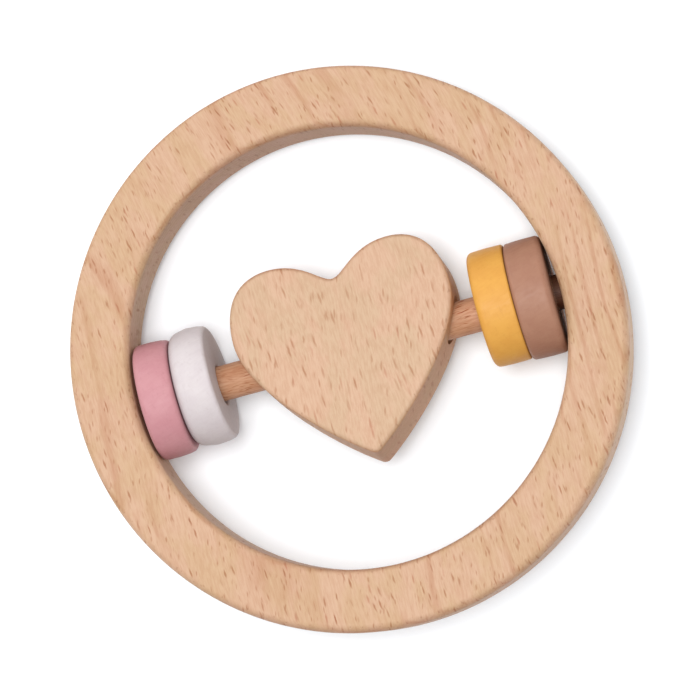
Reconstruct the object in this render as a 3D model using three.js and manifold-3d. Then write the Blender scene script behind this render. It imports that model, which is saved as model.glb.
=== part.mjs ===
// A wooden baby rattle: a beech grasping ring with a round crossbar, on which a wooden heart turns
// and four painted wooden discs spin and slide.
// Millimetres. The origin is the ring's centre, on the crossbar's axis. +X runs along the crossbar,
// +Y towards the heart's notch and +Z out of the ring's face.

import * as THREE from 'three';
import { mergeVertices } from 'three/addons/utils/BufferGeometryUtils.js';
import Module from 'manifold-3d';

const wasm = await Module();
wasm.setup();

// Grasping ring
const RING_OUTER_RADIUS = 47.5;
const RING_INNER_RADIUS = 36.9;
const RING_THICKNESS = 12;
const RING_EDGE_RADIUS = 1;

// Crossbar, pushed through one wall of the ring and glued into a blind socket in the other
const CROSSBAR_RADIUS = 3;
const CROSSBAR_END_RECESS = 0.2;
const SOCKET_DEPTH = 6.4;
const GLUE_GAP = 0.3;

// Discs: a pair against each wall of the ring, and each pair's place is that of its -X face
const DISC_RADIUS = 10.2;
const DISC_WIDTH = 6.45;
const DISC_EDGE_RADIUS = 1.3;
const DISC_BORE_CHAMFER = 0.25;
const DISC_GAP = 0.15;
const LEFT_PAIR_START = -35.65;
const RIGHT_PAIR_START = 22.62;

// Heart: half of its outline runs from the rounded tip over the bulging side and the lobe to the notch.
// The handle lengths set how full each stretch of that outline is.
const HEART_THICKNESS = 12;
const HEART_EDGE_RADIUS = 0.9;
const HEART_HALF_WIDTH = 19;
const HEART_WIDEST_Y = 5.5;
const HEART_LOBE_TOP_X = 10.4;
const HEART_LOBE_TOP_Y = 16;
const HEART_NOTCH_Y = 11.6;
const HEART_TIP_Y = -18.8;
const HEART_TIP_RADIUS = 1.3;
const HEART_TIP_SLOPE = 35;
const TIP_HANDLE = 7.5;
const SIDE_HANDLE = 8.3;
const SHOULDER_HANDLE = 6.4;
const LOBE_OUTER_HANDLE = 5.7;
const LOBE_INNER_HANDLE = 6.1;
const NOTCH_HANDLE = 2;

// The heart lies slightly off the middle of the crossbar, turned so that its lobes hang down a little
const HEART_CENTRE_X = 0.5;
const HEART_REST_TURN = -9.8;

// Running fit of the heart and the discs on the crossbar
const BORE_RADIUS = 3.4;

// A drill starts this far outside the wood
const DRILL_OVERRUN = 1;

// Facets
const RING_SIDES = 72;
const ROUND_SIDES = 36;
const EDGE_STEPS = 2;
const CHAMFER_STEPS = 1;
const CURVE_STEPS = 8;

const beech = new THREE.MeshStandardMaterial({ color: 0xe3c09f, roughness: 0.62, metalness: 0 });
const crossbarBeech = new THREE.MeshStandardMaterial({ color: 0xc89170, roughness: 0.6, metalness: 0 });
const pinkPaint = new THREE.MeshStandardMaterial({ color: 0xda9ea3, roughness: 0.5, metalness: 0 });
const whitePaint = new THREE.MeshStandardMaterial({ color: 0xe4dcde, roughness: 0.5, metalness: 0 });
const mustardPaint = new THREE.MeshStandardMaterial({ color: 0xf1b660, roughness: 0.5, metalness: 0 });
const mochaPaint = new THREE.MeshStandardMaterial({ color: 0xbc8a78, roughness: 0.5, metalness: 0 });

// Booleans on closed geometries
function toSolid(geometry) {
  const bare = geometry.clone();
  bare.deleteAttribute('normal');
  bare.deleteAttribute('uv');
  const merged = mergeVertices(bare, 1e-4);
  const vertProperties = Float32Array.from(merged.attributes.position.array);
  const triVerts = Uint32Array.from(merged.index.array);
  return new wasm.Manifold(new wasm.Mesh({ numProp: 3, vertProperties, triVerts }));
}

function toGeometry(solid) {
  const mesh = solid.getMesh();
  const geometry = new THREE.BufferGeometry();
  geometry.setAttribute('position', new THREE.BufferAttribute(mesh.vertProperties, 3));
  geometry.setIndex(new THREE.BufferAttribute(mesh.triVerts, 1));
  geometry.computeVertexNormals();
  return geometry;
}

function cut(geometry, tool) {
  return toGeometry(toSolid(geometry).subtract(toSolid(tool)));
}

// A solid cylinder along X between two places
function rodAlongX(radius, start, end) {
  const geometry = new THREE.CylinderGeometry(radius, radius, end - start, ROUND_SIDES);
  geometry.rotateZ(-Math.PI / 2);
  geometry.translate((start + end) / 2, 0, 0);
  return geometry;
}

// Points of a quarter circle about a centre, from a starting angle in degrees
function roundedCorner(centreX, centreY, radius, startAngle, steps) {
  const points = [];
  for (let step = 0; step <= steps; step += 1) {
    const angle = THREE.MathUtils.degToRad(startAngle + (90 * step) / steps);
    points.push(new THREE.Vector2(centreX + radius * Math.cos(angle), centreY + radius * Math.sin(angle)));
  }
  return points;
}

// A ring about the Y axis. Its outer edges are always round, and one inner step makes a plain chamfer.
function roundedRing(innerRadius, outerRadius, height, innerEdge, outerEdge, sides, innerSteps) {
  const half = height / 2;
  const profile = [
    ...roundedCorner(outerRadius - outerEdge, -half + outerEdge, outerEdge, -90, EDGE_STEPS),
    ...roundedCorner(outerRadius - outerEdge, half - outerEdge, outerEdge, 0, EDGE_STEPS),
    ...roundedCorner(innerRadius + innerEdge, half - innerEdge, innerEdge, 90, innerSteps),
    ...roundedCorner(innerRadius + innerEdge, -half + innerEdge, innerEdge, 180, innerSteps),
  ];
  profile.push(profile[0].clone());
  return new THREE.LatheGeometry(profile, sides);
}

function makeRing() {
  const geometry = roundedRing(
    RING_INNER_RADIUS, RING_OUTER_RADIUS, RING_THICKNESS,
    RING_EDGE_RADIUS, RING_EDGE_RADIUS, RING_SIDES, EDGE_STEPS,
  );
  geometry.rotateX(Math.PI / 2);
  const drilledFrom = -RING_OUTER_RADIUS - DRILL_OVERRUN;
  const socketEnd = RING_INNER_RADIUS + SOCKET_DEPTH;
  const drill = rodAlongX(CROSSBAR_RADIUS + GLUE_GAP, drilledFrom, socketEnd);
  const ring = new THREE.Mesh(cut(geometry, drill), beech);
  ring.name = 'ring';
  return ring;
}

function makeCrossbar() {
  const start = -RING_OUTER_RADIUS + CROSSBAR_END_RECESS;
  const end = RING_INNER_RADIUS + SOCKET_DEPTH - GLUE_GAP;
  const crossbar = new THREE.Mesh(rodAlongX(CROSSBAR_RADIUS, start, end), crossbarBeech);
  crossbar.name = 'crossbar';
  return crossbar;
}

// The right half is drawn from the tip to the notch, then mirrored
function heartOutline() {
  const slope = THREE.MathUtils.degToRad(HEART_TIP_SLOPE);
  const tipCentreY = HEART_TIP_Y + HEART_TIP_RADIUS;
  const sideX = HEART_TIP_RADIUS * Math.sin(slope);
  const sideY = tipCentreY - HEART_TIP_RADIUS * Math.cos(slope);
  const half = new THREE.Path();
  half.absarc(0, tipCentreY, HEART_TIP_RADIUS, -Math.PI / 2, slope - Math.PI / 2, false);
  half.bezierCurveTo(
    sideX + TIP_HANDLE * Math.cos(slope), sideY + TIP_HANDLE * Math.sin(slope),
    HEART_HALF_WIDTH, HEART_WIDEST_Y - SIDE_HANDLE,
    HEART_HALF_WIDTH, HEART_WIDEST_Y,
  );
  half.bezierCurveTo(
    HEART_HALF_WIDTH, HEART_WIDEST_Y + SHOULDER_HANDLE,
    HEART_LOBE_TOP_X + LOBE_OUTER_HANDLE, HEART_LOBE_TOP_Y,
    HEART_LOBE_TOP_X, HEART_LOBE_TOP_Y,
  );
  half.bezierCurveTo(
    HEART_LOBE_TOP_X - LOBE_INNER_HANDLE, HEART_LOBE_TOP_Y,
    NOTCH_HANDLE, HEART_NOTCH_Y,
    0, HEART_NOTCH_Y,
  );
  const right = half.getPoints(CURVE_STEPS);
  const left = right.slice(1, -1).reverse().map((point) => new THREE.Vector2(-point.x, point.y));
  return new THREE.Shape([...right, ...left]);
}

function makeHeart() {
  const geometry = new THREE.ExtrudeGeometry(heartOutline(), {
    depth: HEART_THICKNESS - 2 * HEART_EDGE_RADIUS,
    bevelEnabled: true,
    bevelThickness: HEART_EDGE_RADIUS,
    bevelSize: HEART_EDGE_RADIUS,
    bevelOffset: -HEART_EDGE_RADIUS,
    bevelSegments: EDGE_STEPS,
  });
  geometry.translate(0, 0, -HEART_THICKNESS / 2 + HEART_EDGE_RADIUS);
  const drillReach = HEART_HALF_WIDTH + DRILL_OVERRUN;
  const drill = rodAlongX(BORE_RADIUS, -drillReach, drillReach);
  const heart = new THREE.Mesh(cut(geometry, drill), beech);
  heart.name = 'heart';
  heart.position.x = HEART_CENTRE_X;
  heart.rotation.x = THREE.MathUtils.degToRad(HEART_REST_TURN);
  return heart;
}

function makeDisc(name, start, paint) {
  const geometry = roundedRing(
    BORE_RADIUS, DISC_RADIUS, DISC_WIDTH,
    DISC_BORE_CHAMFER, DISC_EDGE_RADIUS, ROUND_SIDES, CHAMFER_STEPS,
  );
  geometry.rotateZ(-Math.PI / 2);
  const disc = new THREE.Mesh(geometry, paint);
  disc.name = name;
  disc.position.x = start + DISC_WIDTH / 2;
  return disc;
}

const discPitch = DISC_WIDTH + DISC_GAP;
const rattle = new THREE.Group();
rattle.add(makeRing());
rattle.add(makeCrossbar());
rattle.add(makeHeart());
rattle.add(makeDisc('pink_disc', LEFT_PAIR_START, pinkPaint));
rattle.add(makeDisc('white_disc', LEFT_PAIR_START + discPitch, whitePaint));
rattle.add(makeDisc('mustard_disc', RIGHT_PAIR_START, mustardPaint));
rattle.add(makeDisc('mocha_disc', RIGHT_PAIR_START + discPitch, mochaPaint));

export default rattle;
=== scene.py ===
"""A beech baby rattle: a grasping ring, a crossbar, a turning heart and four painted discs.

The origin is the ring's centre, +X runs along the crossbar towards the mustard and mocha discs, +Y
towards the heart's notch and +Z out of the ring's face.
"""

import math

import bmesh
import bpy
from mathutils import Matrix, Vector
from mathutils.geometry import interpolate_bezier


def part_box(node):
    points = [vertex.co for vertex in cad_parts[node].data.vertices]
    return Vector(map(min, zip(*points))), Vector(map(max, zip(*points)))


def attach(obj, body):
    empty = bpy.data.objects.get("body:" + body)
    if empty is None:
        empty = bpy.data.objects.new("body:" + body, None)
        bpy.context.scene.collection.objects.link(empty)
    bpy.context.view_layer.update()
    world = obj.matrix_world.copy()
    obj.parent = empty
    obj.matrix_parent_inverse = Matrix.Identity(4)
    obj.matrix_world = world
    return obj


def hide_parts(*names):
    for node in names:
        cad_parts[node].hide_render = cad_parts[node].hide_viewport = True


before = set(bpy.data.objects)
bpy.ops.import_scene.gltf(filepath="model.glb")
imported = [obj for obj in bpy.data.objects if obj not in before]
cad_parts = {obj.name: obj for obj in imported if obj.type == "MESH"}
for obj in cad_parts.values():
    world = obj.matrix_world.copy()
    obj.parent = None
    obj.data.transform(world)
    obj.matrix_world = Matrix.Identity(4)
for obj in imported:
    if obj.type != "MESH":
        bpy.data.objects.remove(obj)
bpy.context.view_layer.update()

MM = 0.001

# Ring
RING_OUTER_RADIUS = 47.5
RING_INNER_RADIUS = 36.9
RING_THICKNESS = 12
RING_EDGE_RADIUS = 1
RING_OVAL = 0.9925
RING_STEPS = 216
EDGE_SEGMENTS = 5

# How the ring is sanded. A rounding's fullness swings about its mean on the way round the ring and
# is greatest at an angle, in degrees from +X. The hole opens towards the front in the same way.
OUTER_FULLNESS = 1.1
OUTER_SWING = 0.42
OUTER_FULLEST_AT = 292
INNER_FULLNESS = 1.25
INNER_SWING = 0.25
INNER_FULLEST_AT = 105
HOLE_OPENING = 0.32
HOLE_OPENS_AT = 100

# Crossbar and the hole it is glued into
CROSSBAR_RADIUS = 3
CROSSBAR_START = -46.95
CROSSBAR_END = 43
CROSSBAR_CHAMFER = 0.2
CROSSBAR_CHAMFER_SEGMENTS = 2
CROSSBAR_OFF_CENTRE_Y = 0.28
GLUED_HOLE_RADIUS = 3.04
GLUED_HOLE_OVERRUN = 1
SOCKET_END = 43.3
ROUND_STEPS = 96

# Discs, each turned by hand and so a little different
DISC_RADIUS = 10.2
DISC_EDGE_SEGMENTS = 7
DISC_STEPS = 144
BORE_RADIUS = 3.4
BORE_EDGE_RADIUS = 0.3
BORE_EDGE_SEGMENTS = 3
DISC_SHAPES = {
    "pink": {
        "radius": 10.02, "faces": (0, -0.42), "crown": (0.05, 0.42), "edge_radii": (0.9, 0.6),
        "lean": 0.18,
    },
    "white": {
        "radius": 10.2, "faces": (-0.48, -0.12), "crown": (0.95, 0.5), "edge_radii": (1.2, 0.6),
        "lean": 0.7, "out_of_square": (0.026, 0.03),
    },
    "mustard": {
        "radius": 9.98, "faces": (0.2, 0.05), "crown": (0.15, 0.05), "edge_radii": (1.0, 0.4),
        "lean": 0.6,
    },
    "mocha": {
        "radius": 10.12, "faces": (-0.06, -0.1), "crown": (0.15, 0.05), "edge_radii": (0.65, 1.0),
        "lean": 0.35,
    },
}

# The knees of a crowned rim: how far in from each side, as a part of the width, and how much of that
# side's fall has happened there
CROWN_KNEE = 0.22
CROWN_LEFT_PART = 0.38
CROWN_RIGHT_PART = 0.3

# Heart
HEART_THICKNESS = 12
HEART_EDGE_RADIUS = 0.75
HEART_HALF_WIDTH = 19
HEART_WIDEST_Y = 5.5
HEART_LOBE_TOP = (10.4, 16)
HEART_NOTCH_Y = 11.6
HEART_TIP_Y = -18.8
HEART_TIP_RADIUS = 1.3
HEART_TIP_SLOPE = 35
HEART_TIP_STEPS = 7
TIP_HANDLE = 7.5
SIDE_HANDLE = 8.3
SHOULDER_HANDLE = 6.4
LOBE_OUTER_HANDLE = 5.7
LOBE_INNER_HANDLE = 6.1
NOTCH_HANDLE = 2
HEART_CENTRE_X = 0.5
HEART_REST_TURN = -7.3
HEART_STRETCH_Y = 1.006
HEART_OFF_CENTRE_Y = -0.12
HEART_CUT_TURN = 0.85
HEART_CURVE_STEPS = 26
HEART_BORE_OVERRUN = 2
COUNTERSINK_START = 17.9

# Points closer than this are one point
SAME_PLACE = 0.0005

# Name of the attribute that marks the rounded edges
WORN_EDGE = "worn_edge"

# Tones that are multiplied into the wood and the paint
ROSY_WOOD = "f0d3c8"
STRAND = "cfa684"
LATE_WOOD = "d6a883"
TAN_FLECK = "c08c50"
PALE_FLECK = "c4945c"
REDDISH_FLECK = "cf8a60"
END_GRAIN_PORE = "b8998a"
END_GRAIN = "d8c0b2"
# A greyer, darker tone for patches along the rounded edges of the wood
EDGE_GREYING = "c8bcb6"
NICK = "a87a58"
# Painted shade for the crossbar, where it runs in the shaded gap between the end discs and the ring
PAINTED_GAP_SHADE = "806a5e"
BRUSH_STROKE = "c8bcb6"
GRAIN_THROUGH_PAINT = "b8a8a0"
RUBBED_PAINT = "d8c4b4"

# How far apart the growth lines are, and how far up the wood its fibres start to slant
GROWTH_LINE_SPACING = 1.5
SLANT_STARTS_Y = 14


# ---------------------------------------------------------------- shapes

def finished_mesh(bm, name):
    """Turns the faces outwards, smooths them and makes the object, in metres."""
    bmesh.ops.remove_doubles(bm, verts=bm.verts, dist=SAME_PLACE)
    bmesh.ops.recalc_face_normals(bm, faces=bm.faces)
    bmesh.ops.scale(bm, vec=(MM, MM, MM), verts=bm.verts)
    for face in bm.faces:
        face.smooth = True
    mesh = bpy.data.meshes.new(name)
    bm.to_mesh(mesh)
    bm.free()
    piece = bpy.data.objects.new(name, mesh)
    bpy.context.scene.collection.objects.link(piece)
    return piece


def spun(profile, axis, steps):
    """Spins a closed profile of points round an axis through the origin."""
    bm = bmesh.new()
    corners = [bm.verts.new(point) for point in profile]
    sides = [bm.edges.new((corners[i - 1], corners[i])) for i in range(len(corners))]
    bmesh.ops.spin(
        bm, geom=corners + sides, cent=(0, 0, 0), axis=axis,
        angle=math.tau, steps=steps, use_merge=True,
    )
    bmesh.ops.recalc_face_normals(bm, faces=bm.faces)
    return bm


def corner_edges(bm, least_angle=50):
    """The edges where two faces meet at a real corner."""
    least = math.radians(least_angle)
    return [edge for edge in bm.edges if edge.is_manifold and edge.calc_face_angle() > least]


def round_edges(bm, edges, radius, segments):
    """Rounds the edges and marks the middle of each rounding as worn."""
    worn = bm.verts.layers.float.get(WORN_EDGE) or bm.verts.layers.float.new(WORN_EDGE)
    made = bmesh.ops.bevel(
        bm, geom=edges, offset=radius, offset_type="OFFSET", segments=segments,
        profile=0.5, affect="EDGES", material=-1, clamp_overlap=False,
    )
    rounding = set(made["faces"])
    for vert in made["verts"]:
        if all(face in rounding for face in vert.link_faces):
            vert[worn] = 1


def drill(piece, profile, off_centre_y=0):
    """Cuts a plug spun round the X axis out of a piece for good."""
    bm = spun(profile, (1, 0, 0), ROUND_STEPS)
    bmesh.ops.translate(bm, vec=(0, off_centre_y, 0), verts=bm.verts)
    plug = finished_mesh(bm, "plug")
    cutting = piece.modifiers.new("drill", "BOOLEAN")
    cutting.operation = "DIFFERENCE"
    cutting.solver = "EXACT"
    cutting.object = plug
    view = bpy.context.evaluated_depsgraph_get()
    cut = bpy.data.meshes.new_from_object(piece.evaluated_get(view))
    piece.modifiers.clear()
    old = piece.data
    piece.data = cut
    cut.name = piece.name
    bpy.data.meshes.remove(old)
    bpy.data.objects.remove(plug)


def even_shading(piece, corner_angle=32):
    """Keeps flats flat beside their rounded edges."""
    piece.data.set_sharp_from_angle(angle=math.radians(corner_angle))
    weighting = piece.modifiers.new("even shading", "WEIGHTED_NORMAL")
    weighting.weight = 90
    weighting.keep_sharp = True


def sand_ring(bm):
    """Sands the ring by hand: its outer edges come out rounder on the lower right and crisper on the
    upper left, its inner edges the other way round, the hole opens a little towards the front at the
    top, and the outside loses a little across the grain."""
    half = RING_THICKNESS / 2
    for vert in bm.verts:
        x, y, z = vert.co
        radius = math.hypot(x, y)
        angle = math.atan2(y, x)
        outside = radius > (RING_INNER_RADIUS + RING_OUTER_RADIUS) / 2
        if outside:
            corner = RING_OUTER_RADIUS
            fullness = OUTER_FULLNESS + OUTER_SWING * math.cos(angle - math.radians(OUTER_FULLEST_AT))
        else:
            corner = RING_INNER_RADIUS
            fullness = INNER_FULLNESS + INNER_SWING * math.cos(angle - math.radians(INNER_FULLEST_AT))
        new_radius = corner + (radius - corner) * fullness
        if z > 0 and not outside:
            new_radius += HOLE_OPENING * max(0, math.cos(angle - math.radians(HOLE_OPENS_AT)))
        new_x = x * new_radius / radius
        if outside:
            new_x *= RING_OVAL
        height = half - (half - abs(z)) * fullness
        vert.co = (new_x, y * new_radius / radius, math.copysign(height, z))


def make_ring():
    half = RING_THICKNESS / 2
    profile = [
        (RING_INNER_RADIUS, 0, -half),
        (RING_OUTER_RADIUS, 0, -half),
        (RING_OUTER_RADIUS, 0, half),
        (RING_INNER_RADIUS, 0, half),
    ]
    bm = spun(profile, (0, 0, 1), RING_STEPS)
    round_edges(bm, corner_edges(bm), RING_EDGE_RADIUS, EDGE_SEGMENTS)
    sand_ring(bm)
    ring = finished_mesh(bm, "beech_ring")
    hole = [
        (-RING_OUTER_RADIUS - GLUED_HOLE_OVERRUN, 0, 0),
        (-RING_OUTER_RADIUS - GLUED_HOLE_OVERRUN, GLUED_HOLE_RADIUS, 0),
        (SOCKET_END, GLUED_HOLE_RADIUS, 0),
        (SOCKET_END, 0, 0),
    ]
    drill(ring, hole, CROSSBAR_OFF_CENTRE_Y)
    even_shading(ring)
    return ring


def make_crossbar():
    """A dowel with a small chamfer at both ends, its open end sanded flush with the ring."""
    profile = [
        (CROSSBAR_START, 0, 0),
        (CROSSBAR_START, CROSSBAR_RADIUS, 0),
        (CROSSBAR_END, CROSSBAR_RADIUS, 0),
        (CROSSBAR_END, 0, 0),
    ]
    bm = spun(profile, (1, 0, 0), ROUND_STEPS)
    bmesh.ops.remove_doubles(bm, verts=bm.verts, dist=SAME_PLACE)
    round_edges(bm, corner_edges(bm), CROSSBAR_CHAMFER, CROSSBAR_CHAMFER_SEGMENTS)
    bmesh.ops.translate(bm, vec=(0, CROSSBAR_OFF_CENTRE_Y, 0), verts=bm.verts)
    crossbar = finished_mesh(bm, "beech_crossbar")
    even_shading(crossbar)
    return crossbar


def heart_half():
    """The right half of the heart's outline, from the tip up to the notch."""
    slope = math.radians(HEART_TIP_SLOPE)
    tip_y = HEART_TIP_Y + HEART_TIP_RADIUS
    arc = []
    for step in range(HEART_TIP_STEPS):
        angle = -math.pi / 2 + slope * step / HEART_TIP_STEPS
        across = HEART_TIP_RADIUS * math.cos(angle)
        arc.append(Vector((across, tip_y + HEART_TIP_RADIUS * math.sin(angle))))
    side = Vector((HEART_TIP_RADIUS * math.sin(slope), tip_y - HEART_TIP_RADIUS * math.cos(slope)))
    along = Vector((math.cos(slope), math.sin(slope)))
    widest = Vector((HEART_HALF_WIDTH, HEART_WIDEST_Y))
    lobe = Vector(HEART_LOBE_TOP)
    notch = Vector((0, HEART_NOTCH_Y))
    stretches = [
        (side, side + along * TIP_HANDLE, widest - Vector((0, SIDE_HANDLE)), widest),
        (widest, widest + Vector((0, SHOULDER_HANDLE)), lobe + Vector((LOBE_OUTER_HANDLE, 0)), lobe),
        (lobe, lobe - Vector((LOBE_INNER_HANDLE, 0)), notch + Vector((NOTCH_HANDLE, 0)), notch),
    ]
    points = arc
    for ends in stretches:
        points += interpolate_bezier(*ends, HEART_CURVE_STEPS)[:-1]
    return points + [notch]


def make_heart():
    right = heart_half()
    left = [Vector((-point.x, point.y)) for point in reversed(right[1:-1])]
    bm = bmesh.new()
    half = HEART_THICKNESS / 2
    outline = [bm.verts.new((point.x, point.y, -half)) for point in right + left]
    back = bm.faces.new(outline)
    raised = bmesh.ops.extrude_face_region(bm, geom=[back], use_keep_orig=True)
    front = [item for item in raised["geom"] if isinstance(item, bmesh.types.BMVert)]
    bmesh.ops.translate(bm, vec=(0, 0, HEART_THICKNESS), verts=front)
    bmesh.ops.recalc_face_normals(bm, faces=bm.faces)
    corners = corner_edges(bm)
    rims = [edge for edge in corners if abs(edge.verts[0].co.z - edge.verts[1].co.z) < SAME_PLACE]
    round_edges(bm, rims, HEART_EDGE_RADIUS, EDGE_SEGMENTS)
    bmesh.ops.scale(bm, vec=(1, HEART_STRETCH_Y, 1), verts=bm.verts)
    bmesh.ops.translate(bm, vec=(0, HEART_OFF_CENTRE_Y, 0), verts=bm.verts)
    outline_turn = Matrix.Rotation(math.radians(HEART_CUT_TURN), 4, "Z")
    bmesh.ops.transform(bm, matrix=outline_turn, verts=bm.verts)
    heart = finished_mesh(bm, "beech_heart")
    reach = HEART_HALF_WIDTH + HEART_BORE_OVERRUN
    flare = BORE_RADIUS + reach - COUNTERSINK_START
    bore = [
        (-reach, 0, 0),
        (-reach, flare, 0),
        (-COUNTERSINK_START, BORE_RADIUS, 0),
        (COUNTERSINK_START, BORE_RADIUS, 0),
        (reach, flare, 0),
        (reach, 0, 0),
    ]
    drill(heart, bore)
    rest = Matrix.Translation((HEART_CENTRE_X * MM, 0, 0))
    rest = rest @ Matrix.Rotation(math.radians(HEART_REST_TURN), 4, "X")
    heart.data.transform(rest)
    even_shading(heart)
    return heart


def on_rim(vert):
    """Whether a disc's point is nearer to its outside than to its bore."""
    return Vector(vert.co.yz).length > DISC_RADIUS / 2


def make_disc(name, node, radius, faces, crown, edge_radii, lean, out_of_square=(0, 0)):
    """Spins a disc. faces is how far its left and right face are along X from the CAD's,
    crown is how far the rim falls below its middle at either side, edge_radii are those sides'
    roundings, lean is how far the turned outside is off the bore along Y, and out_of_square is how
    much the right face falls back for each millimetre up along Y and Z."""
    low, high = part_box(node)
    start = low.x / MM + faces[0]
    end = high.x / MM + faces[1]
    middle = (start + end) / 2
    width = end - start
    left_fall, right_fall = crown
    profile = [
        (start, radius - left_fall, 0),
        (start + width * CROWN_KNEE, radius - left_fall * CROWN_LEFT_PART, 0),
        (middle, radius, 0),
        (end - width * CROWN_KNEE, radius - right_fall * CROWN_RIGHT_PART, 0),
        (end, radius - right_fall, 0),
        (end, BORE_RADIUS, 0),
        (start, BORE_RADIUS, 0),
    ]
    bm = spun(profile, (1, 0, 0), DISC_STEPS)
    for side, edge_radius in zip((-1, 1), edge_radii):
        rims = [edge for edge in corner_edges(bm) if on_rim(edge.verts[0])]
        rims = [edge for edge in rims if (edge.verts[0].co.x - middle) * side > 0]
        round_edges(bm, rims, edge_radius, DISC_EDGE_SEGMENTS)
    inner = [edge for edge in corner_edges(bm) if not on_rim(edge.verts[0])]
    round_edges(bm, inner, BORE_EDGE_RADIUS, BORE_EDGE_SEGMENTS)
    for vert in bm.verts:
        if on_rim(vert):
            vert.co.y += lean
        across = (vert.co.x - start) / width
        vert.co.x -= across * (vert.co.y * out_of_square[0] + vert.co.z * out_of_square[1])
    disc = finished_mesh(bm, name)
    even_shading(disc)
    return disc


# ---------------------------------------------------------------- finishes

def colour(code):
    """A linear colour from a six-digit colour code."""
    parts = [int(code[i:i + 2], 16) / 255 for i in (0, 2, 4)]
    linear = [part / 12.92 if part <= 0.04045 else ((part + 0.055) / 1.055) ** 2.4 for part in parts]
    return (*linear, 1)


class Finish:
    """One material. Every method adds a node and gives back its output."""

    def __init__(self, name):
        self.material = bpy.data.materials.new(name)
        self.material.use_nodes = True
        self.tree = self.material.node_tree
        self.shader = self.tree.nodes["Principled BSDF"]
        coordinates = self.node("TexCoord", {})
        self.place = coordinates.outputs["Object"]
        self.facing = coordinates.outputs["Normal"]

    def feed(self, socket, value):
        if isinstance(value, bpy.types.NodeSocket):
            self.tree.links.new(value, socket)
        else:
            socket.default_value = value

    def node(self, kind, inputs, **settings):
        made = self.tree.nodes.new("ShaderNode" + kind)
        for key, value in settings.items():
            setattr(made, key, value)
        for key, value in inputs.items():
            self.feed(made.inputs[key], value)
        return made

    def maths(self, operation, first, second=0.0):
        return self.node("Math", {0: first, 1: second}, operation=operation).outputs[0]

    def vector(self, operation, first, second):
        return self.node("VectorMath", {0: first, 1: second}, operation=operation).outputs[0]

    def scaled(self, first, amount):
        made = self.node("VectorMath", {0: first, "Scale": amount}, operation="SCALE")
        return made.outputs[0]

    def mixed(self, amount, first, second, mode="MIX"):
        inputs = {0: amount, 6: first, 7: second}
        return self.node("Mix", inputs, data_type="RGBA", blend_type=mode).outputs[2]

    def stained(self, body, tone, amount):
        """Multiplies a tone into the colour so far, as strongly as amount says."""
        return self.mixed(amount, body, colour(tone), "MULTIPLY")

    def between(self, value, low, high, to_low=0.0, to_high=1.0):
        limits = {
            "Value": value, "From Min": low, "From Max": high, "To Min": to_low, "To Max": to_high,
        }
        return self.node("MapRange", limits, interpolation_type="SMOOTHSTEP").outputs["Result"]

    def cells_of(self, where, size, turn=(0, 0, 0), centre=(0, 0, 0)):
        """Coordinates in which one unit is the given size in millimetres."""
        settings = {
            "Vector": where,
            "Location": [part * MM for part in centre],
            "Rotation": [math.radians(part) for part in turn],
            "Scale": [part * MM for part in size],
        }
        return self.node("Mapping", settings, vector_type="TEXTURE").outputs["Vector"]

    def cloud(self, where, detail=2.0, roughness=0.5, output="Fac"):
        settings = {"Vector": where, "Scale": 1.0, "Detail": detail, "Roughness": roughness}
        return self.node("TexNoise", settings).outputs[output]

    def spots(self, where):
        made = self.node("TexVoronoi", {"Vector": where, "Scale": 1.0})
        return made.outputs["Distance"], made.outputs["Color"]

    def split(self, vector):
        return self.node("SeparateXYZ", {"Vector": vector}).outputs

    def worn_edge(self):
        return self.node("Attribute", {}, attribute_name=WORN_EDGE).outputs["Fac"]

    def relief(self, height, depth, strength):
        settings = {"Height": height, "Distance": depth * MM, "Strength": strength}
        return self.node("Bump", settings).outputs["Normal"]


def swayed(finish, where, size, reach, centre):
    """Coordinates pushed about by a slow cloud, so that nothing in the wood runs quite straight."""
    cloud = finish.cloud(finish.cells_of(where, size, centre=centre), 1.0, 0.5, "Color")
    push = finish.vector("SUBTRACT", cloud, (0.5, 0.5, 0.5))
    return finish.vector("ADD", where, finish.scaled(push, reach * MM))


def growth_lines(finish, fibres, plank, pith, strength):
    """Thin darker late-wood lines, cut from cylinders round a pith that runs along the fibres."""
    x, _, z = finish.split(fibres)
    from_pith_x = finish.maths("SUBTRACT", x, pith[0] * MM)
    from_pith_z = finish.maths("SUBTRACT", z, pith[1] * MM)
    away = finish.node("CombineXYZ", {"X": from_pith_x, "Z": from_pith_z}).outputs[0]
    years = finish.node("VectorMath", {0: away}, operation="LENGTH").outputs["Value"]
    years = finish.maths("FRACT", finish.maths("DIVIDE", years, GROWTH_LINE_SPACING * MM))
    rise = finish.between(years, 0.62, 0.86)
    line = finish.maths("MINIMUM", rise, finish.between(years, 0.9, 1.0, 1.0, 0.0))
    patches = finish.cloud(finish.cells_of(plank, (11, 26, 11), centre=(31, 8, 5)), 1.0)
    return finish.maths("MULTIPLY", line, finish.between(patches, 0.4, 0.62, 0.0, strength))


def ray_flecks(finish, fibres, size, lean, centre, least):
    """Short spindle-shaped ends of the wood's rays. size is a fleck's width and length, and the flecks
    whose chance is under least are left out."""
    cells = finish.cells_of(fibres, (size[0] * 2.3, size[1] * 2.2, 6), (0, 0, lean), centre)
    near, own_colour = finish.spots(cells)
    chance = finish.node("SeparateColor", {"Color": own_colour}).outputs[0]
    present = finish.between(chance, least, 0.95)
    return finish.maths("MULTIPLY", finish.between(near, 0.1, 0.31, 1.0, 0.0), present)


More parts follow.
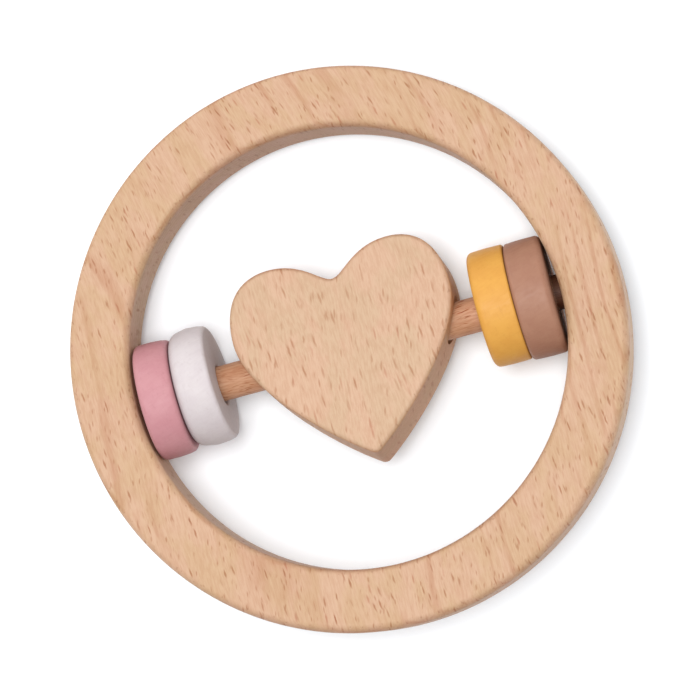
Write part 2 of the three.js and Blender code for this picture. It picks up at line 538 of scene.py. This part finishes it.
def beech(name, light, deep, fleck, lines, turn=(0, 0, 0), centre=(0, 0, 0), slant=0.0,
          pith=(-20, -90), fleck_strength=1.0, strands=0.2, painted_wall_light=None, painted_shade_band=None):
    """Oiled beech with its fibres along the turned Y axis: soft peach and tan patches, growth lines,
    short dark ray flecks, darker end grain, rounded edges a little greyer and darker in patches, and
    brown nicks. fleck is a fleck's width and length, lines and strands are how strong those are, slant
    bends the fibres sideways high up, the wall tint brightens and tints upright faces as painted
    bounce light and reflection, and the shade band is where along X the wood is darkened with painted
    shade, in the gap between the end discs and the ring."""
    finish = Finish(name)
    plank = finish.scaled(finish.cells_of(finish.place, (1, 1, 1), turn, centre), MM)
    if slant:
        along = finish.split(plank)[1]
        above = finish.maths("MAXIMUM", finish.maths("SUBTRACT", along, SLANT_STARTS_Y * MM), 0.0)
        drift = finish.maths("MULTIPLY", finish.maths("MULTIPLY", above, above), slant / MM)
        leaning = finish.node("CombineXYZ", {"X": drift}).outputs[0]
        plank = finish.vector("ADD", plank, leaning)
    fibres = swayed(finish, plank, (12, 30, 12), 3.0, (4, 9, 2))

    patches = finish.cloud(finish.cells_of(fibres, (4.5, 9, 4.5)), 3.0, 0.6)
    body = finish.mixed(finish.between(patches, 0.38, 0.62), light, deep)
    rosy = finish.cloud(finish.cells_of(fibres, (3, 5, 3), centre=(71, 5, 13)), 2.0, 0.5)
    body = finish.stained(body, ROSY_WOOD, finish.between(rosy, 0.5, 0.75, 0.0, 0.12))

    strand = finish.cloud(finish.cells_of(fibres, (0.3, 2.6, 0.3)), 3.0, 0.62)
    body = finish.stained(body, STRAND, finish.between(strand, 0.36, 0.66, 0.0, strands))
    body = finish.stained(body, LATE_WOOD, growth_lines(finish, fibres, plank, pith, lines))

    ragged = swayed(finish, fibres, (0.7, 1.3, 0.7), 0.34, (1, 5, 7))
    small = (fleck[0] * 0.8, fleck[1] * 0.62)
    main = ray_flecks(finish, ragged, fleck, 5, (0, 0, 0), 0.05)
    second = ray_flecks(finish, ragged, small, -9, (53, 17, 29), 0.0)
    reddish = ray_flecks(finish, ragged, fleck, 2, (19, 71, 43), 0.72)
    stains = ((main, 0.55, TAN_FLECK), (second, 0.46, PALE_FLECK), (reddish, 0.4, REDDISH_FLECK))
    for amount, strength, tone in stains:
        body = finish.stained(body, tone, finish.maths("MULTIPLY", amount, strength * fleck_strength))
    flecks = finish.maths("MAXIMUM", main, second)

    facing = finish.split(finish.facing)[0 if turn[2] else 1]
    end_grain = finish.between(finish.maths("ABSOLUTE", facing), 0.25, 1.0, 0.0, 0.6)
    pores = finish.cloud(finish.cells_of(plank, (0.35, 0.35, 0.35)), 2.0, 0.6)
    end_tone = finish.mixed(pores, colour(END_GRAIN_PORE), colour(END_GRAIN))
    body = finish.mixed(end_grain, body, end_tone, "MULTIPLY")

    # Painted light: upright faces are brightened and tinted to stand in for bounce light and cool
    # reflections from the white table and room
    if painted_wall_light:
        upright = finish.maths("ABSOLUTE", finish.split(finish.facing)[2])
        body = finish.mixed(finish.between(upright, 0.3, 0.9, 1.0, 0.0), body, painted_wall_light, "MULTIPLY")

    edge = finish.worn_edge()
    # The rounded edges are made a little greyer and darker in patches
    edge_patches = finish.cloud(finish.cells_of(plank, (1.6, 1.6, 1.6)), 2.0, 0.6)
    edge_tint = finish.maths("MULTIPLY", edge, finish.between(edge_patches, 0.35, 0.7, 0.0, 0.14))
    body = finish.stained(body, EDGE_GREYING, edge_tint)
    nick = finish.cloud(finish.cells_of(plank, (0.5, 0.8, 0.5), centre=(3, 1, 9)), 1.0, 0.5)
    nick = finish.maths("MULTIPLY", finish.between(nick, 0.63, 0.72), edge)
    body = finish.stained(body, NICK, finish.maths("MULTIPLY", nick, 0.3))

    # Painted shade: the bar is darkened near both ends, in the gap between the end discs and the ring
    if painted_shade_band:
        band_start, band_end = painted_shade_band
        reach = finish.maths("ABSOLUTE", finish.split(finish.place)[0])
        begun = finish.between(reach, band_start * MM, (band_start + 0.6) * MM)
        not_ended = finish.between(reach, (band_end - 3) * MM, band_end * MM, 1.0, 0.0)
        body = finish.stained(body, PAINTED_GAP_SHADE, finish.maths("MULTIPLY", begun, not_ended))

    finish.feed(finish.shader.inputs["Base Color"], body)
    finish.feed(finish.shader.inputs["Roughness"], finish.between(strand, 0.2, 0.8, 0.5, 0.62))
    finish.shader.inputs["Specular IOR Level"].default_value = 0.25
    height = finish.maths("SUBTRACT", strand, finish.maths("MULTIPLY", flecks, 0.4))
    height = finish.maths("SUBTRACT", height, nick)
    finish.feed(finish.shader.inputs["Normal"], finish.relief(height, 0.035, 0.4))
    return finish.material


def paint(name, coat, deep, centre):
    """Satin water-based paint brushed over wood, with the grain just showing through."""
    finish = Finish(name)
    shaken = swayed(finish, finish.place, (5, 5, 5), 1.6, centre)
    strokes = finish.cloud(finish.cells_of(shaken, (4, 0.45, 0.45), (8, 10, 24), centre), 3.0, 0.6)
    patches = finish.cloud(finish.cells_of(finish.place, (3, 3, 3), centre=centre), 3.0, 0.6)
    fibres = finish.cloud(finish.cells_of(shaken, (0.35, 2.6, 0.35), (12, 0, 10), centre), 2.0, 0.6)
    body = finish.mixed(finish.between(patches, 0.32, 0.68), coat, deep)
    body = finish.stained(body, BRUSH_STROKE, finish.between(strokes, 0.42, 0.74, 0.0, 0.07))
    body = finish.stained(body, GRAIN_THROUGH_PAINT, finish.between(fibres, 0.55, 0.78, 0.0, 0.12))
    edge = finish.worn_edge()
    edge_tint = finish.maths("MULTIPLY", edge, finish.between(fibres, 0.4, 0.7, 0.0, 0.1))
    body = finish.stained(body, RUBBED_PAINT, edge_tint)
    finish.feed(finish.shader.inputs["Base Color"], body)
    finish.feed(finish.shader.inputs["Roughness"], finish.between(strokes, 0.3, 0.7, 0.48, 0.6))
    finish.shader.inputs["Specular IOR Level"].default_value = 0.33
    height = finish.maths("ADD", finish.maths("MULTIPLY", strokes, 0.25), fibres)
    finish.feed(finish.shader.inputs["Normal"], finish.relief(height, 0.03, 0.2))
    return finish.material


# The ring's and the heart's upright faces are brightened with painted bounce light and reflection
ring_beech = beech(
    "ring_beech", colour("b9967b"), colour("b59474"), slant=0.0055, fleck=(0.32, 1.7),
    fleck_strength=1.2, lines=0.34, painted_wall_light=(1.09, 1.14, 1.18, 1),
)
heart_beech = beech(
    "heart_beech", colour("bb997f"), colour("b7997d"), centre=(63, 118, 40), pith=(40, -120),
    fleck=(0.38, 2.4), lines=0.05, painted_wall_light=(1.2, 1.12, 0.98, 1),
)
# The crossbar is darkened near its ends with painted shade, for the gap between the end discs and the
# ring
crossbar_beech = beech(
    "crossbar_beech", colour("bb8e71"), colour("b18566"), turn=(0, 0, 90), centre=(11, 3, 8),
    fleck=(0.15, 1.5), fleck_strength=1.9, lines=0.5, strands=0.4, painted_shade_band=(35.2, 43.5),
)
paints = {
    "pink": paint("pink_paint", colour("b47f83"), colour("b0797e"), (3, 8, 1)),
    "white": paint("white_paint", colour("c0b7b7"), colour("bcb2b3"), (13, 2, 21)),
    "mustard": paint("mustard_paint", colour("c9923f"), colour("c58c3b"), (23, 17, 5)),
    "mocha": paint("mocha_paint", colour("976c56"), colour("926651"), (33, 9, 14)),
}


def put(piece, body, node, finish):
    """Finishes a piece, hangs it on its body and lets it stand for its CAD node."""
    piece.data.materials.clear()
    piece.data.materials.append(finish)
    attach(piece, body)
    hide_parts(node)


put(make_ring(), "frame", "ring", ring_beech)
put(make_crossbar(), "frame", "crossbar", crossbar_beech)
put(make_heart(), "heart", "heart", heart_beech)
for shade, shape in DISC_SHAPES.items():
    node = shade + "_disc"
    disc = make_disc("painted_disc_" + shade, node, **shape)
    put(disc, node, node, paints[shade])


# ---------------------------------------------------------------- table, lights and camera

TABLE_LEAN = 5.1
TABLE_SIZE = 6000
TABLE_GAP = 0.05
TABLE_TONES = ((0.9, 0.93, 0.96, 1), (0.915, 0.945, 0.97, 1))

# Where the camera is, in metres, and which way its right and its top point
CAMERA_PLACE = (0.081038, -0.060705, 0.692638)
CAMERA_RIGHT = (0.95836, -0.25149, -0.13526)
CAMERA_UP = (0.26066, 0.96388, 0.05474)
CAMERA_LENS = 215.87

# Soft light that fills the whole room
ROOM_LIGHT = (0.95, 0.975, 1, 1)
ROOM_LIGHT_STRENGTH = 0.72

scene = bpy.context.scene


def make_table():
    """The rattle rests on its discs and on one edge of the ring, so the table leans to meet them."""
    bm = bmesh.new()
    bmesh.ops.create_grid(bm, x_segments=8, y_segments=8, size=TABLE_SIZE / 2)
    bmesh.ops.translate(bm, vec=(0, 0, -DISC_RADIUS - TABLE_GAP), verts=bm.verts)
    lean = Matrix.Rotation(math.radians(TABLE_LEAN), 3, "X")
    bmesh.ops.rotate(bm, cent=(0, 0, 0), matrix=lean, verts=bm.verts)
    table = finished_mesh(bm, "table")
    finish = Finish("white_table")
    mottle = finish.cloud(finish.cells_of(finish.place, (60, 60, 60)), 2.0)
    tone = finish.mixed(mottle, *TABLE_TONES)
    finish.feed(finish.shader.inputs["Base Color"], tone)
    finish.shader.inputs["Roughness"].default_value = 0.9
    finish.shader.inputs["Specular IOR Level"].default_value = 0.1
    table.data.materials.append(finish.material)


def make_light(name, place, power, size):
    """A round lamp that points at the middle of the rattle, its place and size in metres."""
    lamp = bpy.data.lights.new(name, "AREA")
    lamp.shape = "DISK"
    lamp.size = size
    lamp.energy = power
    holder = bpy.data.objects.new(name, lamp)
    holder.location = place
    holder.rotation_euler = (-Vector(place)).to_track_quat("-Z", "Y").to_euler()
    scene.collection.objects.link(holder)


def make_camera():
    camera = bpy.data.cameras.new("camera")
    camera.lens = CAMERA_LENS
    camera.sensor_width = 36
    camera.clip_start = 0.01
    camera.clip_end = 50
    holder = bpy.data.objects.new("camera", camera)
    right = Vector(CAMERA_RIGHT)
    up = Vector(CAMERA_UP)
    back = right.cross(up)
    turn = Matrix((right, up, back)).transposed().to_4x4()
    holder.matrix_world = Matrix.Translation(CAMERA_PLACE) @ turn
    scene.collection.objects.link(holder)
    scene.camera = holder


make_table()
make_light("softbox_above", (-0.035, -0.02, 1.0), 8.6, 0.55)
make_light("window_upper_left", (-0.35, 0.8, 0.6), 2.8, 1.0)
make_camera()

world = bpy.data.worlds.new("white_room")
world.use_nodes = True
world.node_tree.nodes["Background"].inputs["Color"].default_value = ROOM_LIGHT
world.node_tree.nodes["Background"].inputs["Strength"].default_value = ROOM_LIGHT_STRENGTH
scene.world = world
scene.view_settings.view_transform = "Standard"
